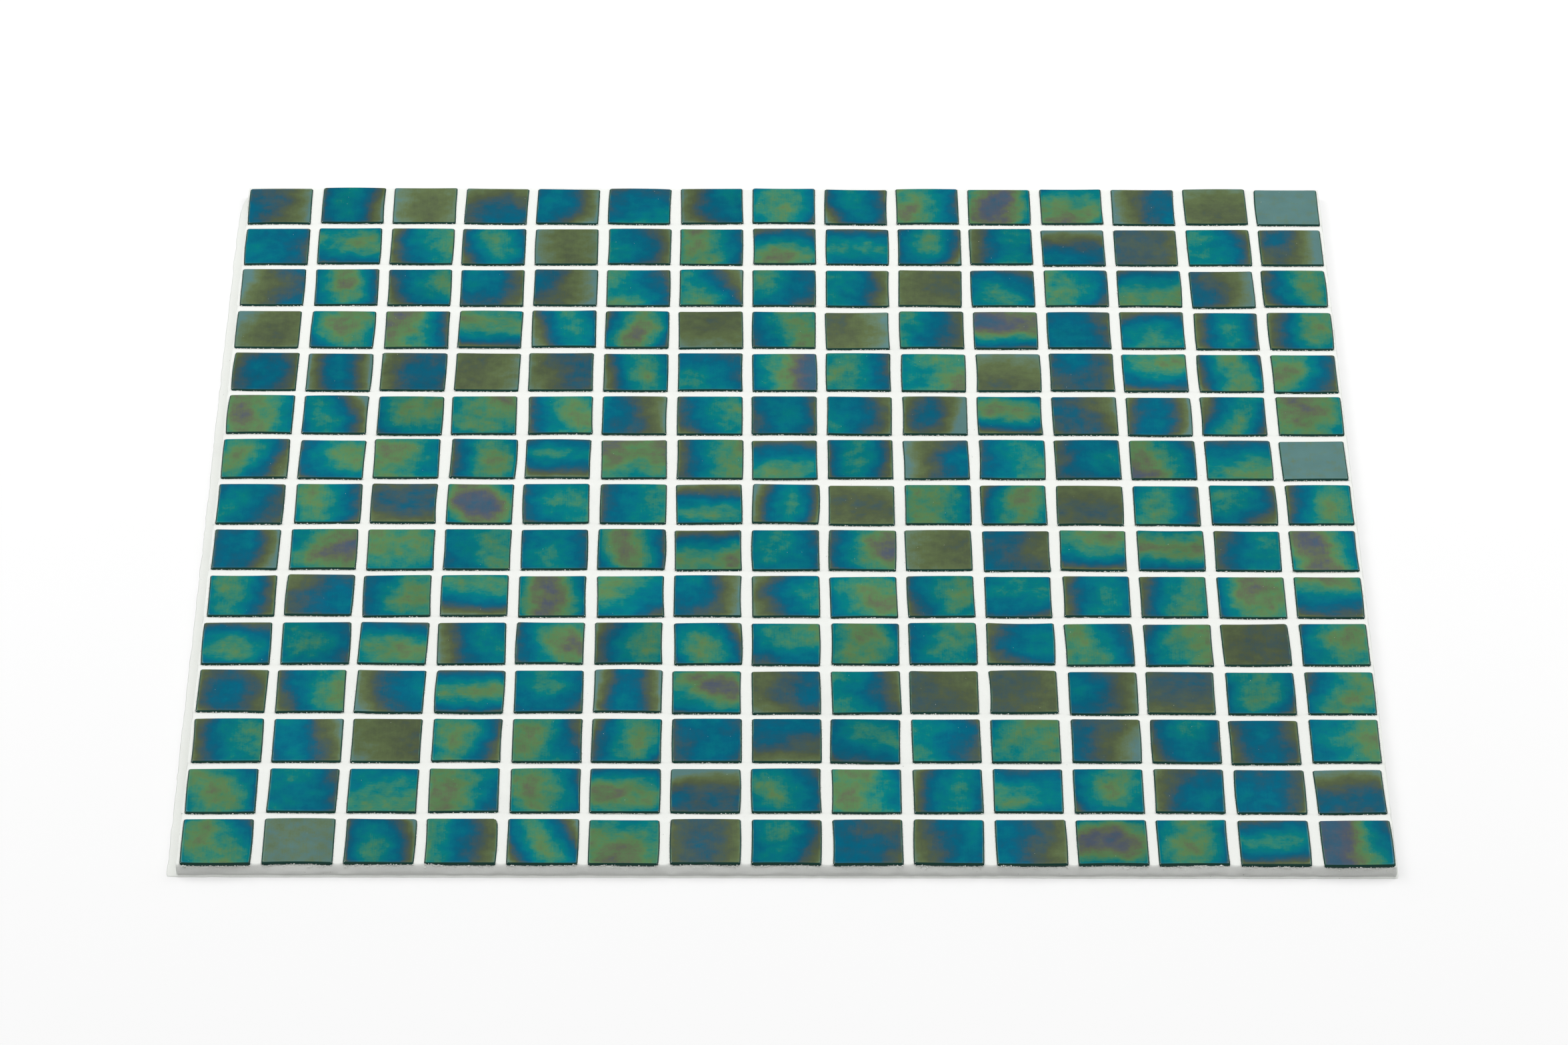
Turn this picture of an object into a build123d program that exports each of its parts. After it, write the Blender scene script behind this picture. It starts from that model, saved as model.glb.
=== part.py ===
"""A sheet of square pressed-glass mosaic, fifteen tesserae by fifteen, set in one casting of cement grout.

The sheet lies flat. The origin is the middle of the field of glass, on the underside of the grout. X runs along
the rows, Y from the front row to the back row, and Z up through the glass. Sizes are in millimetres.
"""

import os

from build123d import *

# Driving sizes of one tessera
tessera_width = 19.0
tessera_thickness = 3.7
arris_reach = 1.0
arris_drop = 0.5
land_height = 0.7
side_draft = 14.0

# Driving sizes of the sheet
rows = 15
columns = 15
joint_width = 2.8

# Driving sizes of the grout
bed_thickness = 0.3
grout_recess = 0.6
edge_margin = 0.9
skirt_left = 2.8
skirt_right = 0.5
skirt_front = 0.5
skirt_back = 0.5

# Worked out from them
pitch = tessera_width + joint_width
face_height = bed_thickness + tessera_thickness
grout_height = face_height - grout_recess
land_bottom = face_height - arris_drop - land_height
taper_depth = land_bottom - bed_thickness
casting_length = (columns - 1) * pitch + tessera_width + 2 * edge_margin
casting_width = (rows - 1) * pitch + tessera_width + 2 * edge_margin

os.makedirs("parts", exist_ok=True)

# One tessera: a pressed square whose upright land stands under an eased arris and over sides that draw in to the back
with BuildPart() as tessera:
    with BuildSketch(Plane.XY.offset(land_bottom)):
        Rectangle(tessera_width, tessera_width)
    extrude(amount=land_height + arris_drop)
    face = tessera.faces().sort_by(Axis.Z)[-1]
    chamfer(face.edges(), length=arris_reach, length2=arris_drop, reference=face)
    extrude(tessera.faces().sort_by(Axis.Z)[0], amount=taper_depth, taper=side_draft)

# The rows of loose tesserae, numbered from the back of the sheet to the front
for row in range(rows):
    row_y = ((rows - 1) / 2 - row) * pitch
    with BuildPart() as tesserae_row:
        with Locations((0, row_y, 0)):
            with GridLocations(pitch, pitch, columns, 1):
                add(tessera.part)
    tesserae_row.part.label = f"tesserae_row_{row + 1:02d}"
    export_step(tesserae_row.part, f"parts/{tesserae_row.part.label}.step")

# The grout: a thin bed that squeezed out past the edges, and the joints, which rise from it round every tessera
with BuildPart() as grout:
    with BuildSketch():
        with Locations(((skirt_right - skirt_left) / 2, (skirt_back - skirt_front) / 2)):
            Rectangle(
                casting_length + skirt_left + skirt_right,
                casting_width + skirt_front + skirt_back,
            )
    extrude(amount=bed_thickness)
    with BuildSketch(Plane.XY.offset(bed_thickness)):
        Rectangle(casting_length, casting_width)
    extrude(amount=grout_height - bed_thickness)
    with GridLocations(pitch, pitch, columns, rows):
        add(tessera.part, mode=Mode.SUBTRACT)
grout.part.label = "grout"
export_step(grout.part, "parts/grout.step")
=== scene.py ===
"""Dresses a sheet of square lustre-glass mosaic.

It makes the tesserae, their casting of white grout, the crumbs of grout along them, and a plain studio.
"""

import math

import bpy
import numpy as np
from bpy.props import FloatProperty, FloatVectorProperty, IntProperty, PointerProperty
from mathutils import Matrix, Vector


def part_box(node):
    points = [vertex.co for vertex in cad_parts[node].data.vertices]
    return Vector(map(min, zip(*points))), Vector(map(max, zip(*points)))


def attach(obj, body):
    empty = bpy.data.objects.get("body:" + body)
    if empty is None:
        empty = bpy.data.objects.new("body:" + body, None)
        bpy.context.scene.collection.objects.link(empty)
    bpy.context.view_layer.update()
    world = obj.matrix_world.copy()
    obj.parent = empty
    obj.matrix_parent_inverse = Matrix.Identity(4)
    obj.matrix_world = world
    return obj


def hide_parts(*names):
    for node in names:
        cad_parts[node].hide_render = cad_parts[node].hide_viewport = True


bl_info = {
    "name": "Lustre Glass Mosaic Sheet",
    "version": (1, 0, 0),
    "blender": (4, 5, 0),
    "location": "View3D > Sidebar > Mosaic",
    "description": "Builds a grouted sheet of pressed glass tesserae with a lustre finish",
    "category": "Add Mesh",
}

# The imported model, and the sizes read from it in millimetres
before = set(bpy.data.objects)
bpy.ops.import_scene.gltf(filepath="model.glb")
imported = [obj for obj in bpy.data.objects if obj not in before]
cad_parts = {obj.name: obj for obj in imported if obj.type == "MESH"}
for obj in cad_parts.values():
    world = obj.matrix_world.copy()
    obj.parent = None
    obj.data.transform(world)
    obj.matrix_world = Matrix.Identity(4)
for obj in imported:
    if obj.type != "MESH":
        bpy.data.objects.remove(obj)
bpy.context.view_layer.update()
MM = 0.001
ROW_NODES = sorted(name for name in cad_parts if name.startswith("tesserae_row_"))
FIRST_LOW, FIRST_HIGH = (np.array(corner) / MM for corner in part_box(ROW_NODES[0]))
SECOND_LOW = np.array(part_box(ROW_NODES[1])[0]) / MM
ROWS = len(ROW_NODES)
TESSERA_WIDTH = float(FIRST_HIGH[1] - FIRST_LOW[1])
PITCH = float(FIRST_LOW[1] - SECOND_LOW[1])
JOINT_WIDTH = PITCH - TESSERA_WIDTH
COLUMNS = int(round((FIRST_HIGH[0] - FIRST_LOW[0] - TESSERA_WIDTH) / PITCH)) + 1
FACE_HEIGHT = float(FIRST_HIGH[2])
BED_HEIGHT = float(FIRST_LOW[2])
GROUT_LOW, GROUT_HIGH = (np.array(corner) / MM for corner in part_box("grout"))
GROUT_TOP = float(GROUT_HIGH[2])
GROUT_POINTS = np.array([v.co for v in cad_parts["grout"].data.vertices]) / MM
CASTING_HALF = float(GROUT_POINTS[GROUT_POINTS[:, 2] > GROUT_TOP - 0.01, 0].max())

# How the perimeter of a tessera is divided: SIDE_CELLS along each side, with the corner arcs in the end ones
CORNER_ZONE = 0.09
CORNER_CELLS = 2
STRAIGHT_CELLS = 12
SIDE_CELLS = STRAIGHT_CELLS + 2 * CORNER_CELLS
# Angles round the arris, in degrees, at which it has a ring of points
ARRIS_ANGLES = (0, 12, 25, 40, 57, 74, 90)
# Depth given to the ring of points round the back of a tessera, below every step in its sides' colour
BACK_DEPTH = 3.0
# Where the front side of a tessera starts, in half widths from its middle
FRONT_SIDE = -0.93
# Depth to which a tessera is clear of grout: at its front, at its other sides and in front of the front row
CLEAR_AT_FRONT = 0.68
CLEAR_AT_SIDES = 0.44
CLEAR_IN_FRONT_ROW = 1.0

# Shares of the way across a joint and across the outer margin at which the grout has points
JOINT_STEPS = (0.0, 0.14, 0.36, 0.64, 0.86, 1.0)
MARGIN_STEPS = (0.0, 0.3, 0.7, 1.0)
# How far the grout reaches into the glass, so that no gap shows between them
GROUT_BITE = 0.03
# Ripples of the tooled surface: how strong each is, and its size
RIPPLES = ((1.0, 1.1), (1.0, 3.5), (0.7, 14.0))
# Width of the strip of grout round the outside of the tesserae
EDGE_MARGIN = CASTING_HALF - (PITCH * COLUMNS - JOINT_WIDTH) / 2
# Shares of the way up the sides of the casting at which it has rings of points
SIDE_SHARES = (1.0, 0.66, 0.33)
# Steps out over the skirt: how far out each is, as a share of the width, and how high
SKIRT_STEPS = ((0.0, 0.42), (0.12, 0.3), (0.5, 0.22), (0.8, 0.12), (0.94, 0.04), (1.0, 0.0))
# Length over which the skirt on the left narrows towards the back corner
SKIRT_RUNOUT = 12.0
# Radius of the upright corners of the casting
CASTING_CORNER = 0.8
# Unevenness of the top edge of the casting, and the size of its lumps
EDGE_ROUGHNESS = 0.12
EDGE_LUMPS = 2.2
# Height of the foot of the sloped front, and the least height of the grout against the front row
FRONT_FOOT = 1.0
FRONT_LOWEST = 2.82
# How strongly the sloped front bulges, where 1 is a flat slope
FRONT_BULGE = 1.3
# Waves of the worn edge along the front row: the height and the size of each
FRONT_WAVES = ((0.25, 9.0), (0.2, 2.5))

# Shares of the crumbs that lie along the front, right, back and left edges of a tessera
CRUMB_SIDES = (0.42, 0.27, 0.04, 0.27)
# Radii of the crumbs at the edges and on the worn front: the middle one, their spread, the least and the most
EDGE_CRUMB_RADII = (0.16, 0.3, 0.08, 0.24)
FRONT_CRUMB_RADII = (0.15, 0.45, 0.06, 0.36)
# How much larger the crumbs in front of a tessera are
FRONT_CRUMB_GROWTH = 1.15
# Share of the front corners of the tesserae that carry a white crumb, which is partly a grain of grout and
# partly a painted glint where the corner catches the light
CORNER_GLINT_CRUMBS = 0.7
# How far the corners of a crumb lie from its middle, in radii, and how flat it is
CRUMB_CORNERS = (0.6, 1.3)
CRUMB_FLATNESS = 0.8

# The film's thickness at which the lustre has each of its colours, on a scale where blue is about 0.6
FILM_SPAN = 1.25
FILM_STOPS = {
    "bare": 0.0,
    "straw": 0.09,
    "olive": 0.2,
    "bronze": 0.32,
    "slate": 0.44,
    "steel": 0.52,
    "blue": 0.6,
    "peacock": 0.69,
    "teal": 0.77,
    "sea_green": 0.85,
    "leaf": 0.93,
    "blush": 1.02,
    "mauve": 1.1,
    "indigo": 1.2,
}

# Lustre kinds: how often each occurs, the least and most film at its thickest place, and how unevenly it lies
FILM_KINDS = {
    "olive": (0.10, 0.28, 0.46, 0.5),
    "slate": (0.10, 0.50, 0.60, 1.0),
    "blue": (0.15, 0.64, 0.74, 1.0),
    "teal": (0.27, 0.76, 0.86, 1.0),
    "green": (0.32, 0.88, 0.98, 1.0),
    "blush": (0.06, 0.99, 1.05, 1.0),
    "plain": (0.0, 0.0, 0.0, 0.0),
    "worn": (0.0, 0.06, 0.10, 0.05),
    "mauve": (0.0, 1.10, 1.16, 1.0),
}
# Share of the tesserae whose lustre changes along Y, and not along X
LUSTRE_ALONG_Y = 0.22
# Waves in the film, in radians over half a tessera, and the height that one radian would have
FILM_WAVES = (2.6, 4.2, 7.4)
FILM_SWAY = 0.12
# The few tesserae that stand out, by row from the back and column from the left
SPECIAL_TESSERAE = {
    (1, 15): "plain",
    (7, 15): "plain",
    (15, 2): "worn",
    (1, 11): "mauve",
    (4, 11): "mauve",
    (5, 8): "mauve",
    (8, 4): "mauve",
    (15, 12): "mauve",
    (15, 15): "mauve",
}
# Tesserae with a chipped back right corner, and how far the chip reaches along each side
CHIPPED_TESSERAE = {(15, 3): 0.9, (15, 4): 1.3, (11, 14): 1.0, (14, 15): 0.7}

# Ways to the middles of the softboxes and of the fill light, and the angles from there over which each fades
SOFTBOX_WAYS = ((-0.7, 0.32, 0.64), (0.7, 0.32, 0.64))
SOFTBOX_FADE = (math.radians(28.0), math.radians(42.0))
FILL_WAY = (0.0, -0.2, 0.98)
FILL_FADE = (math.radians(38.0), math.radians(60.0))
# Sines of the heights between which the white band at the horizon fades
HORIZON_FADE = (0.08, 0.16)
# Place of the right lamp, and the width of each lamp, in metres
LAMP_PLACE = (0.45, 0.35, 0.6)
LAMP_WIDTH = 0.35
# How far the floor reaches, in metres, and how far it lies under the sheet, in millimetres
FLOOR_REACH = 20.0
FLOOR_GAP = 0.01
# The floor's grey as it lights the sheet and as it is seen, and how much it glows where it is seen
FLOOR_TO_SHEET = 0.3
FLOOR_SEEN = 0.8
FLOOR_GLOW = 0.22


def display(red, green, blue):
    """The linear colour that shows as the given display levels from 0 to 255."""
    shares = (level / 255 for level in (red, green, blue))
    return tuple(share / 12.92 if share <= 0.04045 else ((share + 0.055) / 1.055) ** 2.4 for share in shares)


def length(name, description, millimetres):
    """A length property, given in millimetres."""
    default = millimetres * MM
    return FloatProperty(name=name, description=description, default=default, unit="LENGTH", precision=5)


def angle(name, description, degrees):
    """An angle property, given in degrees."""
    return FloatProperty(name=name, description=description, default=math.radians(degrees), subtype="ANGLE")


def light_strength(name, description, default):
    """A property for the strength of a light, which is never negative."""
    return FloatProperty(name=name, description=description, default=default, min=0.0)


def shown_colour(name, description, *levels):
    """A colour property, given as display levels of red, green and blue."""
    return FloatVectorProperty(name=name, description=description, subtype="COLOR", default=display(*levels))


class MosaicTesseraSettings(bpy.types.PropertyGroup):
    """Sizes of the tesserae and of the way they are laid."""

    arris_reach: length("Arris reach", "How far in from the edge the face starts to ease over", 0.8)
    arris_drop: length("Arris drop", "Height that the eased edge takes", 0.5)
    land_height: length("Land height", "Height of the upright side under the arris", 0.7)
    side_draft: angle("Side draft", "How steeply the sides draw in towards the back", 14.0)
    corner_radius: length("Corner radius", "Radius of the four upright corners", 0.7)
    edge_bow: length("Edge bow", "Spread of the bow in each edge", 0.12)
    lay_shift: FloatVectorProperty(
        name="Lay shift", description="Spread of the places where the tesserae were laid, across and along",
        default=(0.14 * MM, 0.2 * MM), size=2, unit="LENGTH", precision=5,
    )
    lay_turn: angle("Lay turn", "Spread of the turn of the tesserae in their pockets", 0.5)
    lay_sink: length("Lay sink", "Most that a tessera sits below the highest ones", 0.12)
    seed: IntProperty(name="Seed", description="Chooses how every tessera is laid and fired", default=7)


class MosaicLustreSettings(bpy.types.PropertyGroup):
    """Colours of the glass and of the film on it, from bare glass to the thickest film."""

    bare: shown_colour("Bare", "Glass with no film", 96, 134, 132)
    straw: shown_colour("Straw", "The thinnest film", 104, 129, 105)
    olive: shown_colour("Olive", "Thin film", 99, 115, 76)
    bronze: shown_colour("Bronze", "Thin film turning brown", 86, 98, 72)
    slate: shown_colour("Slate", "Film between brown and blue", 64, 91, 99)
    steel: shown_colour("Steel", "Film of a greyish blue", 26, 95, 120)
    blue: shown_colour("Blue", "Film of a deep blue", 0, 102, 131)
    peacock: shown_colour("Peacock", "Film of a greener blue", 0, 116, 134)
    teal: shown_colour("Teal", "Film between blue and green", 0, 127, 129)
    sea_green: shown_colour("Sea green", "Thick film", 60, 137, 112)
    leaf: shown_colour("Leaf", "Thick film turning yellow", 94, 137, 88)
    blush: shown_colour("Blush", "Thick film turning brown", 102, 112, 88)
    mauve: shown_colour("Mauve", "Very thick film", 88, 96, 110)
    indigo: shown_colour("Indigo", "The thickest film", 60, 98, 122)
    # Rim: the lighter line along the left and right arrises, partly thin film and partly a painted highlight
    # where the side lights catch the arris
    rim_film_and_highlight: shown_colour("Rim", "Thin film that has run back from the arris", 98, 146, 120)
    body: shown_colour("Body", "Dark glass of the sides", 4, 60, 50)
    mottle: FloatProperty(
        name="Mottle", description="How unevenly the film lies", default=0.26, min=0.0, max=2.0
    )
    streaks: FloatProperty(
        name="Streaks", description="Strength of the fine brushed lines", default=0.08, min=0.0, max=2.0
    )


class MosaicGroutSettings(bpy.types.PropertyGroup):
    """Shape and colour of the grout."""

    joint_hollow: length(
        "Joint hollow", "How deep the tooled joints are, in their middle and in front of each tessera", 0.2
    )
    climb: length("Climb", "How far the grout climbs the sides and the back of each tessera", 0.1)
    surface_ripple: length("Surface ripple", "Unevenness of the tooled surface", 0.04)
    side_shoulder: length("Side shoulder", "How far the top of the casting eases over along its sides", 0.35)
    front_wear: length("Front wear", "How much lower the grout is in front of the front row", 0.42)
    colour: FloatVectorProperty(
        name="Colour", description="Dry white grout", subtype="COLOR", default=(0.943, 0.962, 0.922)
    )
    crumbs: IntProperty(
        name="Crumbs", description="Grains of grout along the edges of each tessera", default=90, min=0
    )
    front_crumbs: IntProperty(
        name="Front crumbs", description="More grains under each tessera of the front row", default=110, min=0
    )
    seed: IntProperty(name="Seed", description="Chooses the unevenness of the grout", default=21)


class MosaicStageSettings(bpy.types.PropertyGroup):
    """Camera, lamps and the light of the studio."""

    lens: FloatProperty(
        name="Lens", description="Focal length of the camera", default=156.95, unit="CAMERA"
    )
    distance: FloatProperty(
        name="Distance", description="Camera to the point that it looks at", default=1.9467, unit="LENGTH"
    )
    height_angle: angle("Height angle", "How far the camera looks down", 36.517)
    side_angle: angle("Side angle", "How far the camera looks to the right", 0.311)
    roll: angle("Roll", "How far the camera is turned about its own axis", 0.286)
    aim: FloatVectorProperty(
        name="Aim", description="Point of the face of the sheet in the middle of the picture",
        default=(-0.00039, -0.00925), size=2, unit="LENGTH", precision=5,
    )
    lamp_power: FloatProperty(
        name="Lamp power", description="Power of each of the two lamps behind",
        default=0.9, min=0.0, unit="POWER",
    )
    softbox: light_strength("Softbox", "Strength of the wide soft light from the left and right", 0.82)
    fill: light_strength("Fill", "Strength of the wide light from above", 0.66)
    room: light_strength("Room", "Strength of the light from everywhere else", 0.05)
    horizon: light_strength("Horizon", "Strength of the thin pale band at the horizon", 1.0)


class Outline:
    """The laid outline and height of one tessera, in millimetres."""

    def __init__(self, row, column, settings):
        self.row = row
        self.column = column
        draw = np.random.default_rng([settings.seed, row, column])
        spread = np.array(settings.lay_shift) / MM
        shift = np.clip(draw.normal(0.0, spread), -2 * spread, 2 * spread)
        middle = np.array([column - (COLUMNS + 1) / 2, (ROWS + 1) / 2 - row]) * PITCH
        self.centre = middle + shift
        self.turn = float(np.clip(draw.normal(0.0, settings.lay_turn), -0.02, 0.02))
        self.half = TESSERA_WIDTH / 2 * (1 + float(np.clip(draw.normal(0.0, 0.005), -0.01, 0.01)))
        self.bows = draw.normal(0.0, settings.edge_bow / MM, 4)
        self.tilt = draw.normal(0.0, 0.002, 2)
        self.crown = draw.normal(0.03, 0.02)
        self.sink = float(draw.uniform(0.02, settings.lay_sink / MM))
        self.corner_radius = settings.corner_radius / MM * float(draw.uniform(0.8, 1.15))
        self.chip = CHIPPED_TESSERAE.get((row, column), 0.0)
        self.reach = settings.arris_reach / MM
        self.drop = settings.arris_drop / MM
        self.land_bottom = self.drop + settings.land_height / MM
        self.taper = math.tan(settings.side_draft) * (FACE_HEIGHT - self.land_bottom - BED_HEIGHT)
        self.tone = float(np.clip(draw.normal(1.0, 0.05), 0.88, 1.1))
        # The lustre changes across the tessera along one of its sides, 0 for X or 1 for Y, and mostly along X
        self.axis = int(draw.random() < LUSTRE_ALONG_Y)
        self.draw = draw

    def place(self, inset, side_points):
        """Points of the outline a given distance inside it, for points of a unit square."""
        half = self.half - inset
        radius = max(self.corner_radius - 0.5 * inset, 0.15)
        points = side_points * half
        past = np.abs(points) - (half - radius)
        corner = (past > 0).all(axis=1)
        reach = np.linalg.norm(past[corner], axis=1, keepdims=True)
        points[corner] = np.sign(points[corner]) * (half - radius + past[corner] * radius / reach)
        return self.warp(points)

    def warp(self, points):
        """Local points bowed, chipped, turned and moved to where the tessera lies."""
        u, v = (points / self.half).T
        left, right, front, back = self.bows
        bent = points.copy()
        bent[:, 0] += (1 - v**2) * ((1 + u) / 2 * right - (1 - u) / 2 * left)
        bent[:, 1] += (1 - u**2) * ((1 + v) / 2 * back - (1 - v) / 2 * front)
        if self.chip:
            limit = 2 * self.half - self.chip + 0.12 * np.sin(5 * (bent[:, 0] - bent[:, 1]))
            beyond = np.maximum(bent.sum(axis=1) - limit, 0.0)
            bent -= beyond[:, None] / 2
        cosine, sine = math.cos(self.turn), math.sin(self.turn)
        turn = np.array([[cosine, -sine], [sine, cosine]])
        return bent @ turn.T + self.centre

    def face(self, points):
        """Height of the face over local points: tilted, a little crowned, and never above the CAD face."""
        u, v = (points / self.half).T
        rise = (self.tilt[0] * u + self.tilt[1] * v) * self.half * 0.6 - self.crown * (u**2 + v**2) / 2
        return np.minimum(FACE_HEIGHT - self.sink + rise, FACE_HEIGHT)


def side_places():
    """Places along a side of the unit square, closer together at the corners."""
    corner = np.linspace(1 - CORNER_ZONE, 1.0, CORNER_CELLS + 1)
    straight = np.linspace(CORNER_ZONE - 1, 1 - CORNER_ZONE, STRAIGHT_CELLS + 1)
    return np.concatenate([-corner[:0:-1], straight, corner[1:]])


def unit_ring(places):
    """Points round the unit square, anticlockwise from the front left corner."""
    ones = np.ones(SIDE_CELLS)
    front = np.column_stack([places[:-1], -ones])
    right = np.column_stack([ones, places[:-1]])
    back = np.column_stack([-places[:-1], ones])
    left = np.column_stack([-ones, -places[:-1]])
    return np.vstack([front, right, back, left])


def soft_noise(x, y, size, draw):
    """Smooth noise between about -1 and 1 with lumps of the given size in millimetres."""
    cells = int(2 * CASTING_HALF / size) + 8
    lattice = draw.uniform(-1.0, 1.0, (cells, cells))
    gx = np.clip((x + CASTING_HALF + 4.0) / size, 0, cells - 1.001)
    gy = np.clip((y + CASTING_HALF + 4.0) / size, 0, cells - 1.001)
    ix, iy = gx.astype(int), gy.astype(int)
    fx, fy = gx - ix, gy - iy
    fx, fy = fx * fx * (3 - 2 * fx), fy * fy * (3 - 2 * fy)
    low = lattice[ix, iy] * (1 - fx) + lattice[ix + 1, iy] * fx
    high = lattice[ix, iy + 1] * (1 - fx) + lattice[ix + 1, iy + 1] * fx
    return low * (1 - fy) + high * fy


def summed_noise(x, y, parts, draw):
    """Sum of smooth noises, each given by how strong it is and its size."""
    return sum(share * soft_noise(x, y, size, draw) for share, size in parts)


def all_outlines(settings):
    """The outline of every tessera, by row from the back and column from the left."""
    return {
        (row, column): Outline(row, column, settings)
        for row in range(1, ROWS + 1)
        for column in range(1, COLUMNS + 1)
    }


def film_over(outline, local):
    """Thickness of the film over local points in units of the half width."""
    draw = outline.draw
    names = list(FILM_KINDS)
    chances = np.array([FILM_KINDS[name][0] for name in names])
    kind = draw.choice(names, p=chances / chances.sum())
    kind = SPECIAL_TESSERAE.get((outline.row, outline.column), kind)
    least, most, unevenness = FILM_KINDS[kind][1:]
    peak = draw.uniform(least, most)
    fall = draw.uniform(0.2, 0.7) * unevenness
    side_fall = draw.uniform(0.0, 0.1) * unevenness
    along = local[:, outline.axis] * draw.choice([-1.0, 1.0])
    across = local[:, 1 - outline.axis]
    start = draw.uniform(-1.1, 1.1)
    lean = draw.normal(0.0, 0.12)
    distance = (along + lean * across - start) / (1 + abs(start))
    off_side = across - draw.uniform(-0.5, 0.5)
    film = peak - fall * np.abs(distance) ** 1.8 - side_fall * off_side**2
    for waves in FILM_WAVES:
        turn = draw.uniform(0, 2 * math.pi)
        phase = draw.uniform(0, 2 * math.pi)
        sway = np.sin(waves * (local[:, 0] * math.cos(turn) + local[:, 1] * math.sin(turn)) + phase)
        film += FILM_SWAY * unevenness / waves * sway
    return film


def wall_faces(low, high):
    """Faces that join a ring of points to the ring above it, looking outwards."""
    after = np.roll(np.arange(len(low)), -1)
    return np.column_stack([low, low[after], high[after], high]).tolist()


def tessera_mesh(outline):
    """Points, faces and the measures that the glass's colour needs, for one tessera."""
    places = side_places()
    ring = unit_ring(places)
    count = len(ring)
    angles = np.radians(ARRIS_ANGLES)
    insets = np.concatenate([[outline.taper, 0.0], outline.reach * (1 - np.cos(angles))])
    depths = np.concatenate([[BACK_DEPTH, outline.land_bottom], outline.drop * (1 - np.sin(angles))])
    grid_u, grid_v = np.meshgrid(places[1:-1], places[1:-1], indexing="ij")
    inner = np.column_stack([grid_u.ravel(), grid_v.ravel()]) * (outline.half - outline.reach)
    spots = [outline.place(inset, ring) for inset in insets]
    faces_over = [outline.face(ring * (outline.half - inset)) - depth for inset, depth in zip(insets, depths)]
    faces_over[0] = np.full(count, BED_HEIGHT)
    points = np.column_stack([
        np.vstack(spots + [outline.warp(inner)]),
        np.concatenate(faces_over + [outline.face(inner)]),
    ])
    local = np.vstack([ring] * len(insets) + [inner / outline.half])
    depth = np.concatenate([np.repeat(depths, count), np.zeros(len(inner))])
    inset = np.concatenate([np.repeat(insets, count), outline.half - np.abs(inner).max(axis=1)])
    inset[:count] = 0.0
    levels = np.arange(len(insets) * count).reshape(len(insets), count)
    faces = [tuple(reversed(range(count)))]
    for low, high in zip(levels[:-1], levels[1:]):
        faces += wall_faces(low, high)
    faces += face_grid(levels[-1], len(insets) * count)
    clear_at_front = CLEAR_IN_FRONT_ROW if outline.row == ROWS else CLEAR_AT_FRONT
    measures = {
        "film": film_over(outline, local),
        "inset": inset,
        "depth": depth,
        "clear": np.where(local[:, 1] < FRONT_SIDE, clear_at_front, CLEAR_AT_SIDES),
        "flank": np.abs(local[:, 0]) > np.abs(local[:, 1]),
        "tone": np.full(len(points), outline.tone),
        "grain": np.full(len(points), float(outline.axis)),
    }
    return points, faces, measures


def ring_in_grid(grid, i, j):
    """The entries of a grid round one tessera, in the order of its ring of points."""
    along = np.arange(SIDE_CELLS)
    far_i, far_j = i + SIDE_CELLS, j + SIDE_CELLS
    front, right = grid[i + along, j], grid[far_i, j + along]
    back, left = grid[far_i - along, far_j], grid[i, far_j - along]
    return np.concatenate([front, right, back, left])


def grid_faces(grid, cells):
    """Faces over the given cells of a grid of point numbers, looking up."""
    i, j = np.nonzero(cells)
    return np.column_stack([grid[i, j], grid[i + 1, j], grid[i + 1, j + 1], grid[i, j + 1]]).tolist()


def face_grid(ring, inner_start):
    """Faces that fill the innermost ring of a tessera with a square grid."""
    grid = np.zeros((SIDE_CELLS + 1, SIDE_CELLS + 1), dtype=int)
    inner_side = SIDE_CELLS - 1
    grid[1:-1, 1:-1] = inner_start + np.arange(inner_side**2).reshape(inner_side, inner_side)
    slots = np.arange(grid.size).reshape(grid.shape)
    grid.flat[ring_in_grid(slots, 0, 0)] = ring
    return grid_faces(grid, np.ones((SIDE_CELLS, SIDE_CELLS), dtype=bool))


def add_object(name, data):
    """A new object in the scene."""
    added = bpy.data.objects.new(name, data)
    bpy.context.scene.collection.objects.link(added)
    return added


def add_piece(name, points, faces, material, measures):
    """A smooth mesh object in metres from points in millimetres, with the measures its material reads."""
    mesh = bpy.data.meshes.new(name)
    mesh.from_pydata((points * MM).tolist(), [], faces)
    if mesh.validate():
        raise RuntimeError(f"{name} has faces that Blender can't use")
    mesh.materials.append(material)
    mesh.polygons.foreach_set("use_smooth", [True] * len(mesh.polygons))
    for measure, values in measures.items():
        attribute = mesh.attributes.new(measure, "FLOAT", "POINT")
        attribute.data.foreach_set("value", np.asarray(values, dtype=np.float32))
    mesh.update()
    piece = add_object(name, mesh)
    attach(piece, "root")
    return piece


def grid_lines(blocks):
    """For each grid line: the two it lies between and its share of the way; then where each block starts."""
    margin, joint = MARGIN_STEPS[1:-1], JOINT_STEPS[1:-1]
    lines = [(0, 0, 0.0)]
    lines += [(0, len(margin) + 1, step) for step in margin]
    starts = []
    for block in range(blocks):
        starts.append(len(lines))
        lines += [(line, line, 0.0) for line in range(len(lines), len(lines) + SIDE_CELLS + 1)]
        end = len(lines) - 1
        steps = margin if block == blocks - 1 else joint
        lines += [(end, end + len(steps) + 1, step) for step in steps]
    lines.append((len(lines), len(lines), 0.0))
    first, second, share = np.array(lines).T
    return first.astype(int), second.astype(int), share, starts


def between_lines(grid, first, second, share):
    """Fills the lines of a grid that lie between two others, along its first axis."""
    inside = share > 0
    weight = share[inside, None, None]
    grid[inside] = grid[first[inside]] * (1 - weight) + grid[second[inside]] * weight


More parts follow.
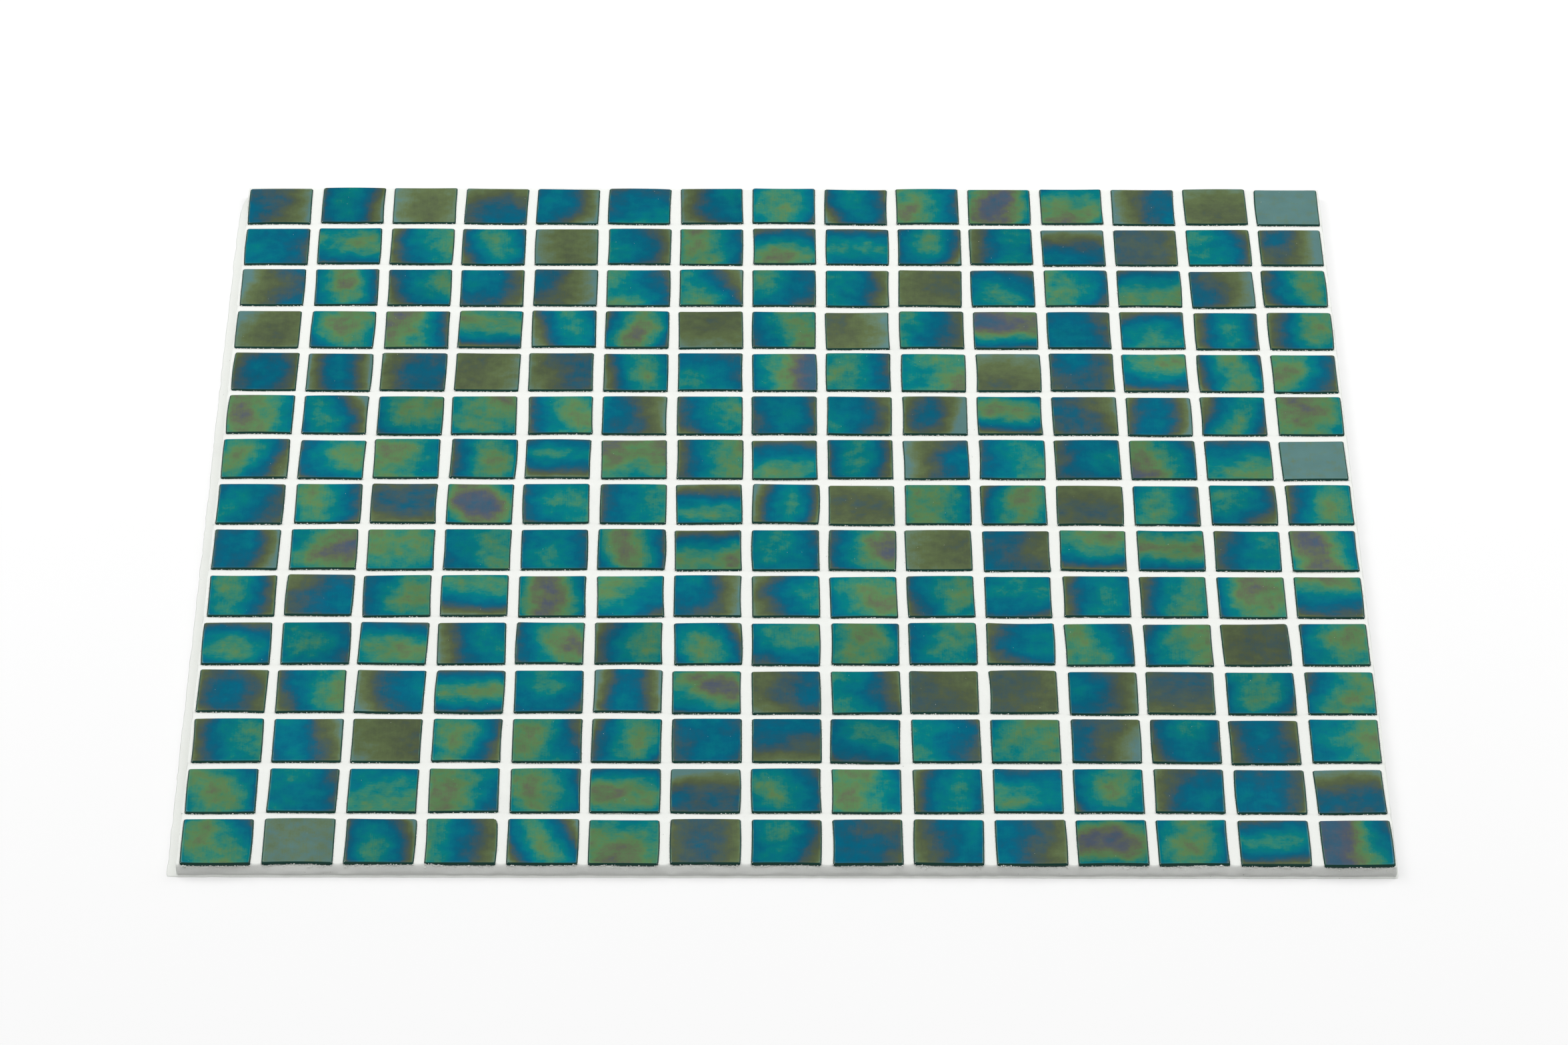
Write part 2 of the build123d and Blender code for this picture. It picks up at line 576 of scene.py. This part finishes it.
def round_corners(grid):
    """Moves the points of a grid at the four corners of the casting in to a rounded corner."""
    straight = CASTING_HALF - CASTING_CORNER
    past = np.abs(grid) - straight
    corner = (past > 0).all(axis=-1)
    reach = np.linalg.norm(past[corner], axis=-1, keepdims=True)
    shrink = CASTING_CORNER / np.maximum(reach, CASTING_CORNER)
    grid[corner] = np.sign(grid[corner]) * (straight + past[corner] * shrink)


def grout_grid(outlines, lines, draw):
    """Places of the points over the top of the grout, which follow every tessera and the casting's sides."""
    first, second, share, starts = lines
    count = len(share)
    grid = np.zeros((count, count, 2))
    slots = np.arange(count * count).reshape(count, count)
    ring = unit_ring(side_places())
    for (row, column), outline in outlines.items():
        around = ring_in_grid(slots, starts[column - 1], starts[ROWS - row])
        grid.reshape(-1, 2)[around] = outline.place(GROUT_BITE, ring)
    edges = ((0, starts[0], -1.0), (-1, starts[-1] + SIDE_CELLS, 1.0))
    for edge, nearest, side in edges:
        grid[edge, :, 1] = grid[nearest, :, 1]
        grid[edge, :, 0] = side * CASTING_HALF
    for edge, nearest, side in edges:
        grid[:, edge, 0] = grid[:, nearest, 0]
        grid[:, edge, 1] = side * CASTING_HALF
        for corner, _, across in edges:
            grid[corner, edge] = (across * CASTING_HALF, side * CASTING_HALF)
    between_lines(grid, first, second, share)
    turned = grid.transpose(1, 0, 2)
    between_lines(turned, first, second, share)
    between_lines(grid, first, second, share)
    round_corners(grid)
    for edge in (0, -1):
        for line, axis in ((grid[edge, 1:-1], 0), (grid[1:-1, edge], 1)):
            line[:, axis] += EDGE_ROUGHNESS * soft_noise(line[:, 0], line[:, 1], EDGE_LUMPS, draw)
    return grid


def front_level(x, settings):
    """Height of the grout against the front row of tesserae, where it has worn lower than in the joints."""
    wave = summed_noise(x, np.zeros_like(x), FRONT_WAVES, np.random.default_rng(settings.seed + 2))
    return np.maximum(GROUT_TOP - settings.front_wear / MM + wave, FRONT_LOWEST)


def front_slope(level, share):
    """Height of the sloped front of the grout, at shares of the way from its foot in to the glass."""
    return FRONT_FOOT + (level - FRONT_FOOT) * (1 - (1 - share) ** FRONT_BULGE)


def grout_heights(grid, share, starts, settings, draw):
    """Heights over the grout's grid: full beside the glass, hollow in the joints, worn at the front."""
    x, y = grid[..., 0], grid[..., 1]
    across = 4 * share * (1 - share)
    along = np.where(share > 0.5, 1.0, across)
    along[starts] = 1.0
    hollow = 1 - np.outer(1 - across, 1 - along)
    ripple = summed_noise(x, y, RIPPLES, draw)
    to_side = CASTING_HALF - np.maximum(np.abs(x), np.abs(y))
    rounding = settings.side_shoulder / MM * np.clip(1 - to_side / EDGE_MARGIN, 0, 1) ** 2
    height = GROUT_TOP - hollow * settings.joint_hollow / MM + (1 - hollow) ** 2 * settings.climb / MM
    height += ripple * settings.surface_ripple / MM - rounding
    beside_glass = np.zeros(len(share))
    for start in starts:
        beside_glass[start:start + SIDE_CELLS + 1] = 1.0
        beside_glass[[start, start + SIDE_CELLS]] = 0.5
    at_glass = starts[0]
    joint_level = height[:, at_glass]
    level = joint_level + beside_glass * (front_level(x[:, at_glass], settings) - joint_level)
    way_in = np.append(share[:at_glass], 1.0)
    height[:, :at_glass + 1] = front_slope(level[:, None], way_in)
    return height


def edge_loop(slots):
    """Entries round a square grid's border, anticlockwise from the front left, and the way each faces."""
    last = len(slots) - 1
    along = np.arange(last)
    sides = [slots[along, 0], slots[last, along], slots[last - along, last], slots[0, last - along]]
    facing = np.repeat([(0.0, -1.0), (1.0, 0.0), (0.0, 1.0), (-1.0, 0.0)], last, axis=0)
    facing[0] = (-1.0, -1.0)
    facing[last] = (1.0, -1.0)
    facing[2 * last] = (1.0, 1.0)
    facing[3 * last] = (-1.0, 1.0)
    return np.concatenate(sides), facing


def casting_sides(edge, facing, draw):
    """Rings of points from under the casting's top edge, down its sides and out over its skirt."""
    x, y, z = edge.T
    foot = SKIRT_STEPS[0][1]
    rings = []
    for part in SIDE_SHARES:
        out = 0.06 * soft_noise(x + 20 * part, y + 20 * part, 2.6, draw)
        height = foot + part * (z - 0.12 - foot) + 0.03 * soft_noise(x, y + 20 * part, 3.0, draw)
        rings.append(np.column_stack([edge[:, :2] + facing * out[:, None], height]))
    widths = np.where(facing < 0, -GROUT_LOW[:2] - CASTING_HALF, GROUT_HIGH[:2] - CASTING_HALF)
    ragged = 1 - 0.14 * np.abs(soft_noise(x, y, 7.0, draw)) - 0.05 * np.abs(soft_noise(x, y, 1.4, draw))
    runout = np.clip((CASTING_HALF - y) / SKIRT_RUNOUT, 0.05, 1.0) ** 0.5
    narrowed = np.where(facing[:, 0] < 0, runout, 1.0)
    reach = widths * facing * (ragged * narrowed)[:, None]
    base = np.clip(edge[:, :2], -CASTING_HALF, CASTING_HALF)
    for share, height in SKIRT_STEPS:
        wave = 0.2 * height * soft_noise(x + 5 * share, y, 1.6, draw)
        rings.append(np.column_stack([base + reach * share, height + wave]))
    return rings


def grout_mesh(outlines, settings):
    """Points and faces of the whole casting, closed, with a pocket for every tessera."""
    draw = np.random.default_rng(settings.seed)
    lines = grid_lines(COLUMNS)
    share, starts = lines[2:]
    grid = grout_grid(outlines, lines, draw)
    heights = grout_heights(grid, share, starts, settings, draw)
    covered = np.zeros(len(share) - 1, dtype=bool)
    for start in starts:
        covered[start:start + SIDE_CELLS] = True
    cells = ~np.outer(covered, covered)
    slots = np.arange(grid.shape[0] ** 2).reshape(grid.shape[:2])
    top = np.array(grid_faces(slots, cells))
    used, renumbered = np.unique(top, return_inverse=True)
    numbers = np.full(slots.size, -1)
    numbers[used] = np.arange(len(used))
    faces = renumbered.reshape(-1, 4).tolist()
    surface = np.column_stack([grid.reshape(-1, 2), heights.ravel()])
    blocks = [surface[used]]
    total = len(used)
    ring = unit_ring(side_places())
    for (row, column), outline in outlines.items():
        around = ring_in_grid(slots, starts[column - 1], starts[ROWS - row])
        above = numbers[around]
        land = outline.face(ring * outline.half) - outline.land_bottom
        land = np.minimum(land, heights.ravel()[around] - 0.1)
        floor = np.full(len(ring), BED_HEIGHT)
        blocks.append(np.column_stack([outline.place(0.0, ring), land]))
        blocks.append(np.column_stack([outline.place(outline.taper, ring), floor]))
        middle = total + np.arange(len(ring))
        below = middle + len(ring)
        faces += wall_faces(above, middle) + wall_faces(middle, below)
        faces.append(below.tolist())
        total += 2 * len(ring)
    loop, facing = edge_loop(slots)
    above = numbers[loop]
    for points in casting_sides(surface[loop], facing, draw):
        below = total + np.arange(len(loop))
        faces += wall_faces(below, above)
        blocks.append(points)
        above = below
        total += len(loop)
    faces.append(above[::-1].tolist())
    return np.vstack(blocks), faces


def crumb_radii(middle, spread, least, most, number, draw):
    """Radii of a number of crumbs, most of them near the middle one."""
    return np.clip(draw.lognormal(math.log(middle), spread, number), least, most)


def edge_crumbs(outline, settings, draw):
    """Places and radii of the grains of grout along the edges of one tessera."""
    number = settings.crumbs
    side = draw.choice(4, number, p=CRUMB_SIDES)
    run = draw.uniform(-0.98, 0.98, number)
    ones = np.ones(number)
    unit = np.column_stack([
        np.choose(side, (run, ones, run, -ones)),
        np.choose(side, (-ones, run, ones, run)),
    ])
    spots = outline.place(-0.02, unit) + draw.uniform(-0.07, 0.07, (number, 2))
    level = np.full(number, GROUT_TOP)
    in_front = side == 0
    level[in_front] -= settings.joint_hollow / MM
    if outline.row == ROWS:
        level[in_front] = front_level(spots[in_front, 0], settings)
    heights = level + draw.uniform(-0.06, 0.1, number) * np.where(in_front, 2.0, 1.0)
    radii = crumb_radii(*EDGE_CRUMB_RADII, number, draw) * np.where(in_front, FRONT_CRUMB_GROWTH, 1.0)
    return np.column_stack([spots, heights]), radii


def face_and_glint_crumbs(outline, draw):
    """Places and radii of the few small grains on the face of one tessera, and of the white grains on its
    front corners that are partly grout and partly painted glints.
    """
    # The white grains on the front corners are partly grout and partly painted glints where the corners catch
    # the light
    corners = np.array([(-1.0, -1.0), (1.0, -1.0)])[draw.random(2) < CORNER_GLINT_CRUMBS]
    corner_glints = np.column_stack([
        outline.place(0.22, corners),
        np.full(len(corners), FACE_HEIGHT - outline.sink - 0.2),
    ])
    local = draw.uniform(-0.9, 0.9, (draw.poisson(1.0), 2)) * outline.half
    on_face = np.column_stack([outline.warp(local), outline.face(local)])
    radii = np.concatenate([draw.uniform(0.09, 0.14, len(corners)), draw.uniform(0.05, 0.1, len(local))])
    return np.vstack([corner_glints, on_face]), radii


def front_crumbs(outline, settings, draw):
    """Places and radii of the grains on the worn grout under one tessera of the front row."""
    number = settings.front_crumbs
    glass = outline.place(0.0, np.column_stack([draw.uniform(-1.0, 1.0, number), -np.ones(number)]))
    way_in = np.clip(1 - np.abs(draw.normal(0.0, 0.3, number)), 0.0, 1.0)
    x = glass[:, 0]
    y = -CASTING_HALF + way_in * (CASTING_HALF + glass[:, 1])
    heights = front_slope(front_level(x, settings), way_in)
    radii = crumb_radii(*FRONT_CRUMB_RADII, number, draw) * (0.4 + 0.8 * way_in)
    return np.column_stack([x, y, heights]), radii


def crumb_mesh(outlines, settings):
    """Points and faces of all the grains: uneven lumps of eight faces."""
    draw = np.random.default_rng(settings.seed + 1)
    grains = [edge_crumbs(outline, settings, draw) for outline in outlines.values()]
    grains += [face_and_glint_crumbs(outline, draw) for outline in outlines.values()]
    grains += [front_crumbs(outlines[ROWS, column], settings, draw) for column in range(1, COLUMNS + 1)]
    places, radii = zip(*grains)
    places, radii = np.vstack(places), np.concatenate(radii)
    lump = np.array([(1, 0, 0), (0, 1, 0), (-1, 0, 0), (0, -1, 0), (0, 0, 1), (0, 0, -1)], dtype=float)
    upper_faces = [(0, 1, 4), (1, 2, 4), (2, 3, 4), (3, 0, 4)]
    lump_faces = np.array(upper_faces + [(1, 0, 5), (2, 1, 5), (3, 2, 5), (0, 3, 5)])
    turns = draw.uniform(0, 2 * math.pi, len(radii))
    cosines, sines = np.cos(turns)[:, None], np.sin(turns)[:, None]
    shapes = lump * draw.uniform(*CRUMB_CORNERS, (len(radii), 6, 3)) * radii[:, None, None]
    shapes[..., 2] *= CRUMB_FLATNESS
    x, y = shapes[..., 0].copy(), shapes[..., 1].copy()
    shapes[..., 0] = x * cosines - y * sines
    shapes[..., 1] = x * sines + y * cosines
    points = (shapes + places[:, None, :]).reshape(-1, 3)
    points[:, 2] = np.minimum(points[:, 2], FACE_HEIGHT)
    faces = (lump_faces[None] + 6 * np.arange(len(radii))[:, None, None]).reshape(-1, 3)
    return points, faces.tolist()


class Shading:
    """A tree of shading nodes, with short calls that add nodes and join them."""

    def __init__(self, tree):
        self.tree = tree

    def feed(self, target, value):
        """Joins a socket to the socket that feeds it, or sets it to a plain value."""
        if isinstance(value, bpy.types.NodeSocket):
            self.tree.links.new(value, target)
        else:
            target.default_value = value

    def add(self, kind, inputs=None, output=0, **choices):
        """A node with its choices made and its inputs fed; gives one of its outputs."""
        node = self.tree.nodes.new(kind)
        for choice, value in choices.items():
            setattr(node, choice, value)
        for key, value in (inputs or {}).items():
            self.feed(node.inputs[key], value)
        return node.outputs[output]

    def math(self, operation, first, second, third=0.0):
        """One sum on numbers or sockets."""
        return self.add("ShaderNodeMath", {0: first, 1: second, 2: third}, operation=operation)

    def step(self, value, low, high):
        """0 below the first limit and 1 above the second, smooth between them."""
        return self.add("ShaderNodeMapRange", {0: value, 1: low, 2: high}, interpolation_type="SMOOTHSTEP")


class Finish(Shading):
    """A material in the making."""

    def __init__(self, name):
        self.material = bpy.data.materials.new(name)
        self.material.use_nodes = True
        super().__init__(self.material.node_tree)
        self.shader = self.tree.nodes["Principled BSDF"]

    def set(self, **values):
        """Feeds the shader's sockets, named with underscores for spaces."""
        for name, value in values.items():
            self.feed(self.shader.inputs[name.replace("_", " ")], value)

    def measure(self, name):
        """A number that the mesh carries at each point."""
        return self.add("ShaderNodeAttribute", output="Fac", attribute_name=name)

    def swing(self, noise, strength, base):
        """A base value that swings to both sides with a noise about 0.5."""
        return self.math("MULTIPLY_ADD", self.math("SUBTRACT", noise, 0.5), strength, base)

    def noise(self, size, detail=2.0, stretch=(1.0, 1.0, 1.0)):
        """Noise about 0.5 with lumps of a size in millimetres, stretched along the axes."""
        scale = [1 / (size * MM * factor) for factor in stretch]
        place = self.add("ShaderNodeTexCoord", output="Object")
        scaled = self.add("ShaderNodeMapping", {"Vector": place, "Scale": scale})
        return self.add("ShaderNodeTexNoise", {"Vector": scaled, "Scale": 1.0, "Detail": detail})

    def mix(self, share, first, second):
        """A colour between two colours."""
        return self.add("ShaderNodeMix", {0: share, 6: first, 7: second}, output=2, data_type="RGBA")

    def colours(self, value, stops):
        """Colours by value, from places on a ramp and the colour at each."""
        node = self.tree.nodes.new("ShaderNodeValToRGB")
        self.feed(node.inputs[0], value)
        elements = node.color_ramp.elements
        elements[0].position, elements[-1].position = stops[0][0], stops[-1][0]
        elements[0].color, elements[-1].color = stops[0][1], stops[-1][1]
        for position, colour in stops[1:-1]:
            elements.new(position).color = colour
        return node.outputs[0]

    def bump(self, height, distance):
        """A normal from a height that runs from 0 to 1 over a distance in millimetres."""
        return self.add("ShaderNodeBump", {"Height": height, "Distance": distance * MM, "Strength": 1.0})


def solid(colour):
    """A colour with full opacity."""
    return (*colour, 1.0)


def lustre_glass(lustre, grout_colour):
    """Dark pressed glass under a film that colours it by its thickness, with a lighter line along its left
    and right arrises that is partly thin film and partly painted highlight, and traces of grout on its sides.
    """
    finish = Finish("lustre_glass")
    brushed_y = finish.noise(0.28, 2.0, (1.0, 30.0, 1.0))
    brushed_x = finish.noise(0.28, 2.0, (30.0, 1.0, 1.0))
    grain = finish.measure("grain")
    brushed = finish.math("ADD", finish.math("MULTIPLY", grain, brushed_x),
                          finish.math("MULTIPLY", finish.math("SUBTRACT", 1.0, grain), brushed_y))
    film = finish.swing(finish.noise(3.2, 3.0), lustre.mottle, finish.measure("film"))
    film = finish.swing(finish.noise(0.7, 2.0), lustre.mottle * 0.35, film)
    film = finish.swing(brushed, lustre.streaks, film)
    stops = [(place / FILM_SPAN, solid(getattr(lustre, name))) for name, place in FILM_STOPS.items()]
    shade = finish.colours(finish.math("DIVIDE", film, FILM_SPAN), stops)
    tone = finish.swing(finish.noise(6.0, 2.0), 0.25, finish.measure("tone"))
    toned = finish.add("ShaderNodeVectorMath", {0: shade, "Scale": tone}, operation="SCALE")
    # The lighter line along the left and right arrises: partly thin film, partly a painted highlight of the
    # side lights on the arris
    from_edge = finish.swing(finish.noise(1.5, 1.0), 0.3, finish.measure("inset"))
    near_edge = finish.math("SUBTRACT", 1.0, finish.step(from_edge, 0.4, 0.62))
    patchy = finish.math("MULTIPLY", finish.step(finish.noise(5.0, 2.0), 0.35, 0.6), finish.measure("flank"))
    rim_film_and_highlight = finish.math("MULTIPLY", near_edge, finish.math("MULTIPLY", patchy, 0.6))
    rimmed = finish.mix(rim_film_and_highlight, toned, solid(lustre.rim_film_and_highlight))
    depth = finish.measure("depth")
    sided = finish.mix(finish.step(depth, 0.05, 0.13), rimmed, solid(lustre.body))
    below_clear = finish.math("SUBTRACT", depth, finish.measure("clear"))
    residue = finish.step(finish.swing(finish.noise(0.5, 3.0), 0.6, below_clear), -0.03, 0.03)
    finish.set(
        Base_Color=finish.mix(residue, sided, solid(grout_colour)),
        Roughness=finish.math("MULTIPLY_ADD", residue, 0.5, 0.3),
        Metallic=0.05,
        Specular_IOR_Level=0.05,
        Coat_Weight=0.35,
        Coat_Roughness=0.06,
        Normal=finish.bump(finish.math("ADD", finish.noise(1.4, 3.0), residue), 0.012),
    )
    return finish.material


def dry_grout(colour):
    """White cement grout: sandy, a little uneven in colour, with pinholes that are dented and painted darker
    as the shade inside them.
    """
    finish = Finish("dry_grout")
    # Pinholes are dented by the bump and painted darker, as the shade that falls inside them
    pinhole = finish.step(finish.noise(0.8, 1.0), 0.22, 0.17)
    stain = finish.step(finish.noise(24.0, 4.0), 0.5, 0.8)
    grey = solid([channel * 0.88 for channel in colour])
    pinhole_shade = solid([channel * 0.5 for channel in colour])
    blotched = finish.mix(finish.math("MULTIPLY", stain, 0.4), solid(colour), grey)
    sandy = finish.mix(finish.step(finish.noise(0.25, 2.0), 0.55, 0.85), blotched, grey)
    sand = finish.math("MULTIPLY_ADD", finish.noise(0.3, 3.0), 0.5, finish.noise(1.2, 2.0))
    finish.set(
        Base_Color=finish.mix(pinhole, sandy, pinhole_shade),
        Roughness=0.92,
        Specular_IOR_Level=0.2,
        Normal=finish.bump(finish.math("SUBTRACT", sand, pinhole), 0.04),
    )
    return finish.material


def studio_floor():
    """A floor that shows as white and keeps shadows, but throws little light back on what stands on it."""
    finish = Finish("studio_floor")
    path = finish.tree.nodes.new("ShaderNodeLightPath")
    seen = finish.math("MAXIMUM", path.outputs["Is Camera Ray"], path.outputs["Is Glossy Ray"])
    seen = finish.math("MAXIMUM", seen, path.outputs["Is Transmission Ray"])
    finish.set(
        Base_Color=finish.mix(seen, solid([FLOOR_TO_SHEET] * 3), solid([FLOOR_SEEN] * 3)),
        Roughness=1.0,
        Specular_IOR_Level=0.0,
        Emission_Color=(1.0, 1.0, 1.0, 1.0),
        Emission_Strength=finish.math("MULTIPLY", seen, FLOOR_GLOW),
    )
    return finish.material


def studio_world(stage):
    """Wide softboxes left and right and a wide fill from above, in a dim room with a white horizon."""
    world = bpy.data.worlds.new("studio")
    world.use_nodes = True
    sky = Shading(world.node_tree)
    direction = sky.add("ShaderNodeTexCoord", output="Generated")
    strength = stage.room
    lights = [(way, SOFTBOX_FADE, stage.softbox) for way in SOFTBOX_WAYS]
    lights.append((FILL_WAY, FILL_FADE, stage.fill))
    for way, fade, power in lights:
        inputs = {0: direction, 1: way}
        nearness = sky.add("ShaderNodeVectorMath", inputs, output="Value", operation="DOT_PRODUCT")
        lit = sky.step(nearness, math.cos(fade[1]), math.cos(fade[0]))
        strength = sky.math("MULTIPLY_ADD", lit, power, strength)
    height = sky.add("ShaderNodeSeparateXYZ", {0: direction}, output="Z")
    band = sky.math("SUBTRACT", 1.0, sky.step(height, *HORIZON_FADE))
    strength = sky.math("MULTIPLY_ADD", band, stage.horizon - stage.room, strength)
    background = sky.tree.nodes["Background"]
    background.inputs["Color"].default_value = (1.0, 1.0, 1.0, 1.0)
    sky.feed(background.inputs["Strength"], strength)
    bpy.context.scene.world = world


# The groups of settings, by the names that they have in the scene
SETTINGS = {
    "mosaic_tessera": MosaicTesseraSettings,
    "mosaic_lustre": MosaicLustreSettings,
    "mosaic_grout": MosaicGroutSettings,
    "mosaic_stage": MosaicStageSettings,
}


def settings_of(context):
    """The four groups of settings."""
    return [getattr(context.scene, name) for name in SETTINGS]


class MOSAIC_OT_tesserae(bpy.types.Operator):
    """Makes the rows of lustre glass tesserae"""

    bl_idname = "mosaic.tesserae"
    bl_label = "Tesserae"

    def execute(self, context):
        tessera, lustre, grout, _ = settings_of(context)
        if not ROW_NODES:
            raise RuntimeError("the frame holds no rows of tesserae")
        glass = lustre_glass(lustre, grout.colour)
        outlines = all_outlines(tessera)
        for row, node in enumerate(ROW_NODES, start=1):
            meshes = [tessera_mesh(outlines[row, column]) for column in range(1, COLUMNS + 1)]
            faces = []
            start = 0
            for points, own_faces, _ in meshes:
                faces += [[start + point for point in face] for face in own_faces]
                start += len(points)
            points = np.vstack([mesh[0] for mesh in meshes])
            measures = {name: np.concatenate([mesh[2][name] for mesh in meshes]) for name in meshes[0][2]}
            piece = add_piece(f"lustre_row_{row:02d}", points, faces, glass, measures)
            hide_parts(node)
        return {"FINISHED"}


class MOSAIC_OT_grout(bpy.types.Operator):
    """Makes the casting of grout that holds the tesserae"""

    bl_idname = "mosaic.grout"
    bl_label = "Grout"

    def execute(self, context):
        tessera, _, grout, _ = settings_of(context)
        if ROWS != COLUMNS:
            raise RuntimeError("the grout's grid needs as many rows as columns")
        points, faces = grout_mesh(all_outlines(tessera), grout)
        piece = add_piece("grout_casting", points, faces, dry_grout(grout.colour), {})
        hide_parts("grout")
        return {"FINISHED"}


class MOSAIC_OT_crumbs(bpy.types.Operator):
    """Scatters grains of dry grout along the edges of the tesserae, with white grains on their front corners
    that also serve as painted glints
    """

    bl_idname = "mosaic.crumbs"
    bl_label = "Grout crumbs"

    def execute(self, context):
        tessera, _, grout, _ = settings_of(context)
        material = bpy.data.materials.get("dry_grout")
        if material is None:
            raise RuntimeError("the grout has to be made before its crumbs")
        points, faces = crumb_mesh(all_outlines(tessera), grout)
        add_piece("grout_crumbs", points, faces, material, {})
        return {"FINISHED"}


class MOSAIC_OT_stage(bpy.types.Operator):
    """Sets up the floor, the light and the camera"""

    bl_idname = "mosaic.stage"
    bl_label = "Stage"

    def execute(self, context):
        stage = settings_of(context)[3]
        self.add_floor()
        studio_world(stage)
        self.add_lamps(stage)
        self.add_camera(stage)
        return {"FINISHED"}

    def add_floor(self):
        """A wide plain floor just under the sheet."""
        mesh = bpy.data.meshes.new("floor")
        signs = ((-1, -1), (1, -1), (1, 1), (-1, 1))
        mesh.from_pydata([(x * FLOOR_REACH, y * FLOOR_REACH, 0.0) for x, y in signs], [], [(0, 1, 2, 3)])
        mesh.materials.append(studio_floor())
        floor = add_object("floor", mesh)
        floor.location.z = -FLOOR_GAP * MM

    def add_lamps(self, stage):
        """Two lamps above and behind the sheet, left and right, which light its back a little more."""
        for name, side in (("left_lamp", -1.0), ("right_lamp", 1.0)):
            light = bpy.data.lights.new(name, "AREA")
            light.size = LAMP_WIDTH
            light.energy = stage.lamp_power
            lamp = add_object(name, light)
            lamp.location = (side * LAMP_PLACE[0], LAMP_PLACE[1], LAMP_PLACE[2])
            lamp.rotation_euler = (-lamp.location).to_track_quat("-Z", "Y").to_euler()

    def add_camera(self, stage):
        """A camera that looks down on the sheet from the front, turned a little about its own axis."""
        side, down = stage.side_angle, stage.height_angle
        ahead = Vector((math.sin(side) * math.cos(down), math.cos(side) * math.cos(down), -math.sin(down)))
        level = Vector((math.cos(side), -math.sin(side), 0.0))
        upward = level.cross(ahead)
        right = level * math.cos(stage.roll) + upward * math.sin(stage.roll)
        up = upward * math.cos(stage.roll) - level * math.sin(stage.roll)
        lens = bpy.data.cameras.new("camera")
        lens.lens = stage.lens
        camera = add_object("camera", lens)
        aim = Vector((stage.aim[0], stage.aim[1], FACE_HEIGHT * MM))
        turn = Matrix((right, up, -ahead)).transposed().to_4x4()
        camera.matrix_world = Matrix.Translation(aim - ahead * stage.distance) @ turn
        bpy.context.scene.camera = camera
        bpy.context.scene.view_settings.view_transform = "Standard"


OPERATORS = (MOSAIC_OT_tesserae, MOSAIC_OT_grout, MOSAIC_OT_crumbs, MOSAIC_OT_stage)


class MOSAIC_PT_sheet(bpy.types.Panel):
    """Lists the pieces of the sheet and their settings"""

    bl_idname = "MOSAIC_PT_sheet"
    bl_label = "Mosaic sheet"
    bl_space_type = "VIEW_3D"
    bl_region_type = "UI"
    bl_category = "Mosaic"

    def draw(self, context):
        for operator in OPERATORS:
            self.layout.operator(operator.bl_idname)
        for group in settings_of(context):
            box = self.layout.box()
            for name in group.bl_rna.properties.keys():
                if name not in ("rna_type", "name"):
                    box.prop(group, name)


CLASSES = (*SETTINGS.values(), *OPERATORS, MOSAIC_PT_sheet)


def register():
    for cls in CLASSES:
        bpy.utils.register_class(cls)
    for name, group in SETTINGS.items():
        setattr(bpy.types.Scene, name, PointerProperty(type=group))


def unregister():
    for name in SETTINGS:
        delattr(bpy.types.Scene, name)
    for cls in reversed(CLASSES):
        bpy.utils.unregister_class(cls)


def main():
    register()
    bpy.ops.mosaic.tesserae()
    bpy.ops.mosaic.grout()
    bpy.ops.mosaic.crumbs()
    bpy.ops.mosaic.stage()


if __name__ == "__main__":
    main()
